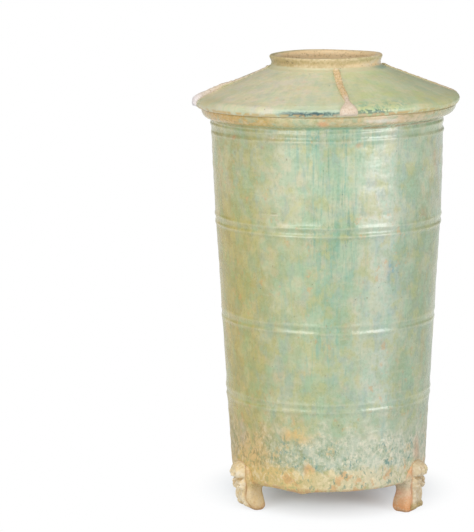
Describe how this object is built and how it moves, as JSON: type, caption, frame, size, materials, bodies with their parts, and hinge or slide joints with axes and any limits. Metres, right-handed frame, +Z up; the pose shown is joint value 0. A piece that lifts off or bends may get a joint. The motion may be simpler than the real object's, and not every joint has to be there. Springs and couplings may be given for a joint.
{
  "type": "pottery granary jar",
  "caption": "Tall tapered pottery granary jar with ridged bands, a roof-shaped shoulder, an open round mouth and bear-shaped feet.",
  "frame": {"origin": "on the ground under the middle of the jar, at the undersides of the feet", "axes": "+Z up along the jar's turning axis; -Y is the front, between the two front feet; +X is to the right seen from the front"},
  "size_m": [0.1816, 0.1816, 0.31],
  "materials": {
    "wall_glaze": "satin",
    "roof_glaze": "satin",
    "collar_glaze": "satin",
    "ridge_glaze": "satin",
    "foot_glaze": "satin",
    "bare_clay": "matte"
  },
  "bodies": {
    "root": {"body_wall": "wall_glaze", "base_disc": "bare_clay", "roof": "roof_glaze", "mouth_collar": "collar_glaze", "roof_ridge_front": "ridge_glaze", "roof_ridge_right": "ridge_glaze", "roof_ridge_back": "ridge_glaze", "roof_ridge_left": "ridge_glaze", "foot_block_front_left": "bare_clay", "bear_foot_front_left": "foot_glaze", "foot_block_front_right": "bare_clay", "bear_foot_front_right": "foot_glaze", "foot_block_back": "bare_clay", "bear_foot_back": "foot_glaze"}
  },
  "joints": []
}
